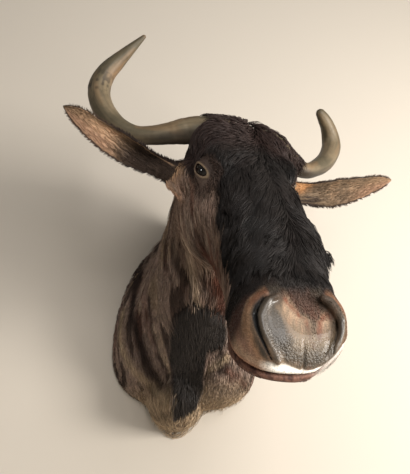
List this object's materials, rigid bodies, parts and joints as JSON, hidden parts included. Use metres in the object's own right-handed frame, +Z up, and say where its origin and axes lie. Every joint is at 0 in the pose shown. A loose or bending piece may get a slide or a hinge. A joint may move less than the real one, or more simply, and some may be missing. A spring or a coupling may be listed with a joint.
{
  "type": "blue wildebeest shoulder mount",
  "caption": "Mounted head and neck of a blue wildebeest with horns, ears and beard, on a back board that hangs on a wall.",
  "frame": {"origin": "middle of the back board's rear face, which lies on the wall", "axes": "+Y into the wall, +Z up, +X to the right of someone who looks at the wall"},
  "size_m": [0.5825, 0.6017, 0.6443],
  "materials": {
    "board": "raw plywood",
    "neck_coat": "short brindled fur",
    "face_coat": "long black hair",
    "muzzle_skin": "pebbled skin, half gloss",
    "lip_skin": "short rusty hair",
    "ear_coat": "thin short hair",
    "eye_glass": "polished glass eye",
    "horn": "worn keratin, satin"
  },
  "bodies": {
    "root": {"back_board": "board", "neck": "neck_coat", "head": "face_coat", "muzzle": "muzzle_skin", "lower_jaw": "lip_skin", "ear_right": "ear_coat", "ear_left": "ear_coat", "eye_right": "eye_glass", "eye_left": "eye_glass", "horn_right": "horn", "horn_left": "horn"}
  },
  "joints": []
}
